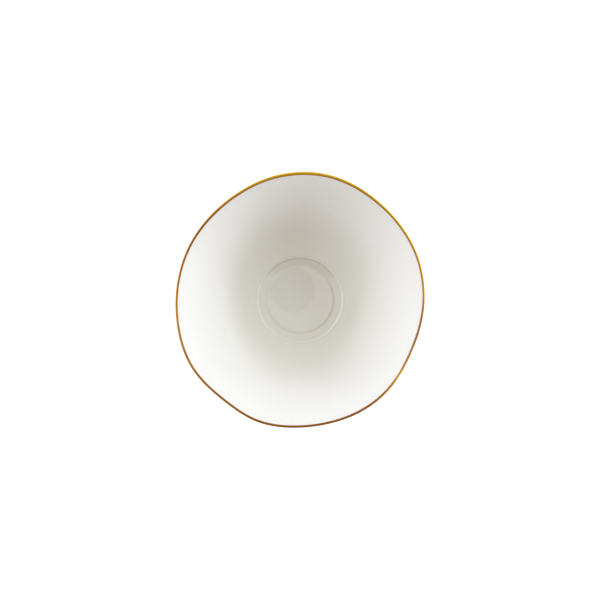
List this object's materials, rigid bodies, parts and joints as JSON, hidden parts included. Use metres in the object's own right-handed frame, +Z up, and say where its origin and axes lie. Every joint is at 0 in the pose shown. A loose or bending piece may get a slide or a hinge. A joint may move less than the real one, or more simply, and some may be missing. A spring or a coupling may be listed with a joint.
{
  "type": "serving bowl",
  "caption": "Round porcelain serving bowl with a hand-shaped wavy rim edged in gold, a stepped well in its floor and a ring foot.",
  "frame": {"origin": "middle of the foot ring's standing face, on the table", "axes": "+Z up through the mouth, +Y along the rim's longer way across, +X across it"},
  "size_m": [0.2487, 0.2555, 0.0926],
  "materials": {
    "clay": "white porcelain body, wholly under the coats",
    "bare_clay": "unglazed porcelain, fine and matt, ground flat on the standing face",
    "inside_glaze": "glossy clear glaze, warm white with a slight green-grey where it pools, a few iron specks",
    "outside_glaze": "glossy clear glaze, warm white, a few iron specks",
    "base_glaze": "glossy clear glaze, a little thinner and greyer than on the wall",
    "gold": "burnished gold lustre, brushed on by hand, browner where it thins"
  },
  "bodies": {
    "root": {"porcelain_body": "clay", "foot_ring": "bare_clay", "inside_glaze": "inside_glaze", "outside_glaze": "outside_glaze", "base_glaze": "base_glaze", "gold_band": "gold"}
  },
  "joints": []
}
